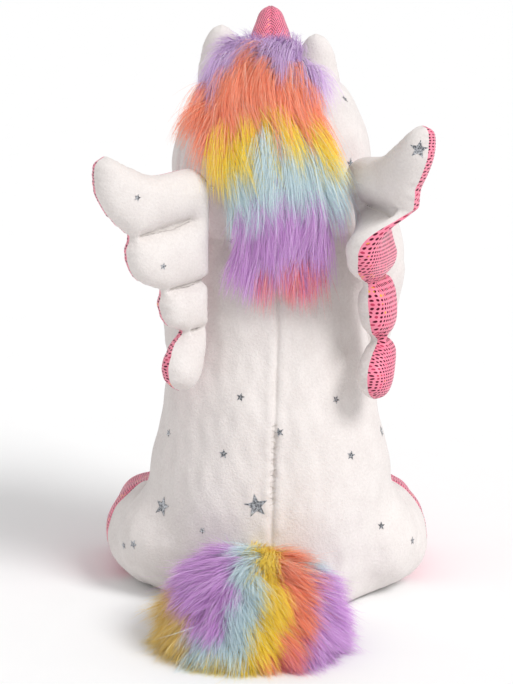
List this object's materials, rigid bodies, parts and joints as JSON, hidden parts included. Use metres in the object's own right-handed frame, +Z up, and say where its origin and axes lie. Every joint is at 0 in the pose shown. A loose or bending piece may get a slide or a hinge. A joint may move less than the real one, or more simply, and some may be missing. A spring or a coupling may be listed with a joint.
{
  "type": "plush unicorn",
  "caption": "Seated stuffed unicorn with quilted wings, a foil-dot horn and hooves, and a long-pile rainbow mane and tail; limbs, wings, ears, head and tail flop and spring back.",
  "frame": {"origin": "centre of the flat underside of the torso, on the surface that the toy sits on", "axes": "+Z up, the face looks along -Y, the toy's own left side is +X"},
  "size_m": [0.2238, 0.2785, 0.3896],
  "materials": {
    "white_plush": "short pile plush",
    "pink_foil_fabric": "knit with printed metallic dots",
    "rainbow_fur": "long pile fur in rainbow bands",
    "stuffing": "loose polyester fibre",
    "eye": "polished",
    "washer": "moulded",
    "embroidery": "satin stitch",
    "thread": "twisted polyester"
  },
  "bodies": {
    "torso": {"back_panel_left": "white_plush", "back_panel_right": "white_plush", "belly_panel": "white_plush", "torso_stuffing": "stuffing", "back_seam_thread": "thread", "mane_nape": "rainbow_fur"},
    "head": {"head_panel_left": "white_plush", "head_panel_right": "white_plush", "muzzle_panel": "white_plush", "head_stuffing": "stuffing", "horn_cover": "pink_foil_fabric", "horn_stuffing": "stuffing", "mane_crown": "rainbow_fur", "eye_left": "eye", "eye_right": "eye", "eye_washer_left": "washer", "eye_washer_right": "washer", "nostril_embroidery": "embroidery", "mouth_embroidery": "embroidery"},
    "tail": {"tail_core": "white_plush", "tail_fur": "rainbow_fur"},
    "ear_left": {"ear_outer_left": "white_plush", "ear_inner_left": "pink_foil_fabric"},
    "wing_left": {"wing_back_left": "white_plush", "wing_front_left": "pink_foil_fabric", "wing_stuffing_left": "stuffing", "wing_quilting_left": "thread"},
    "foreleg_left": {"foreleg_sleeve_left": "white_plush", "foreleg_hoof_cover_left": "pink_foil_fabric", "foreleg_sole_left": "pink_foil_fabric", "foreleg_stuffing_left": "stuffing"},
    "hind_leg_left": {"hind_leg_sleeve_left": "white_plush", "hind_leg_hoof_cover_left": "pink_foil_fabric", "hind_leg_sole_left": "pink_foil_fabric", "hind_leg_stuffing_left": "stuffing"},
    "ear_right": {"ear_outer_right": "white_plush", "ear_inner_right": "pink_foil_fabric"},
    "wing_right": {"wing_back_right": "white_plush", "wing_front_right": "pink_foil_fabric", "wing_stuffing_right": "stuffing", "wing_quilting_right": "thread"},
    "foreleg_right": {"foreleg_sleeve_right": "white_plush", "foreleg_hoof_cover_right": "pink_foil_fabric", "foreleg_sole_right": "pink_foil_fabric", "foreleg_stuffing_right": "stuffing"},
    "hind_leg_right": {"hind_leg_sleeve_right": "white_plush", "hind_leg_hoof_cover_right": "pink_foil_fabric", "hind_leg_sole_right": "pink_foil_fabric", "hind_leg_stuffing_right": "stuffing"}
  },
  "joints": [
    {"name": "neck_nod", "type": "hinge", "parent": "torso", "child": "head", "pos_m": [0, -0.008, 0.255], "axis": [1, 0, 0], "range_deg": [-10, 18], "stiffness_Nm_per_rad": 3},
    {"name": "tail_lift", "type": "hinge", "parent": "torso", "child": "tail", "pos_m": [0.004, 0.07, 0.032], "axis": [1, 0, 0], "range_deg": [0, 33], "stiffness_Nm_per_rad": 0.6},
    {"name": "ear_flop_left", "type": "hinge", "parent": "head", "child": "ear_left", "pos_m": [0.031, -0.022, 0.3485], "axis": [0.8944, 0, -0.4472], "range_deg": [-18, 20], "stiffness_Nm_per_rad": 0.05},
    {"name": "wing_fold_left", "type": "hinge", "parent": "torso", "child": "wing_left", "pos_m": [0.047, 0.046, 0.24], "axis": [0, 0, 1], "range_deg": [-16, 48], "stiffness_Nm_per_rad": 0.4},
    {"name": "ear_flop_right", "type": "hinge", "parent": "head", "child": "ear_right", "pos_m": [-0.031, -0.022, 0.3485], "axis": [0.8944, 0, 0.4472], "range_deg": [-18, 20], "stiffness_Nm_per_rad": 0.05},
    {"name": "wing_fold_right", "type": "hinge", "parent": "torso", "child": "wing_right", "pos_m": [-0.063, 0.032, 0.24], "axis": [0, 0, -1], "range_deg": [-50, 14], "stiffness_Nm_per_rad": 0.4},
    {"name": "shoulder_raise_left", "type": "hinge", "parent": "torso", "child": "foreleg_left", "pos_m": [0.046, -0.014, 0.216], "axis": [0, -1, 0], "range_deg": [0, 70], "stiffness_Nm_per_rad": 1.2},
    {"name": "hip_splay_left", "type": "hinge", "parent": "torso", "child": "hind_leg_left", "pos_m": [0.072, -0.002, 0.033], "axis": [0, 0, 1], "range_deg": [0, 45], "stiffness_Nm_per_rad": 1.5},
    {"name": "shoulder_raise_right", "type": "hinge", "parent": "torso", "child": "foreleg_right", "pos_m": [-0.06, -0.014, 0.216], "axis": [0, 1, 0], "range_deg": [0, 70], "stiffness_Nm_per_rad": 1.2},
    {"name": "hip_splay_right", "type": "hinge", "parent": "torso", "child": "hind_leg_right", "pos_m": [-0.069, -0.002, 0.033], "axis": [0, 0, -1], "range_deg": [0, 45], "stiffness_Nm_per_rad": 1.5}
  ]
}
